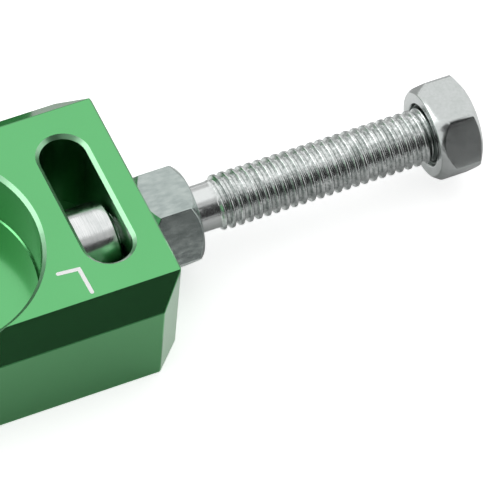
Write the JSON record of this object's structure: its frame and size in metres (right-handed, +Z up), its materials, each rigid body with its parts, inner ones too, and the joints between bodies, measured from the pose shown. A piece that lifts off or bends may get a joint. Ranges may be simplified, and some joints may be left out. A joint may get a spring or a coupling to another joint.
{
  "type": "motorcycle chain adjuster",
  "caption": "Milled axle block with a round axle-nut recess, a barrel-nut window and a captive hex-head adjuster bolt with a lock nut.",
  "frame": {"origin": "on the axle bore's axis at the block's bottom face", "axes": "+Z up the axle bore and out of the axle-nut recess, +X along the adjuster bolt towards its head, +Y across the block"},
  "size_m": [0.0771, 0.0282, 0.0125],
  "materials": {
    "anodised_block": "satin green anodised, machined",
    "bolt_steel": "bright zinc-plated, rolled thread",
    "nut_steel": "bright zinc-plated, drawn hexagon",
    "barrel_steel": "turned, bright"
  },
  "bodies": {
    "block": {"axle_block": "anodised_block"},
    "bolt": {"adjuster_bolt": "bolt_steel", "barrel_nut": "barrel_steel"},
    "nut": {"lock_nut": "nut_steel"}
  },
  "joints": [
    {"name": "bolt_turn", "type": "hinge", "parent": "block", "child": "bolt", "pos_m": [0.0231, -0.0014, 0.00625], "axis": [1, 0, 0], "continuous": true},
    {"name": "nut_turn", "type": "hinge", "parent": "bolt", "child": "nut", "pos_m": [0.02585, -0.0014, 0.00625], "axis": [1, 0, 0], "range_deg": [-72, 360]}
  ]
}
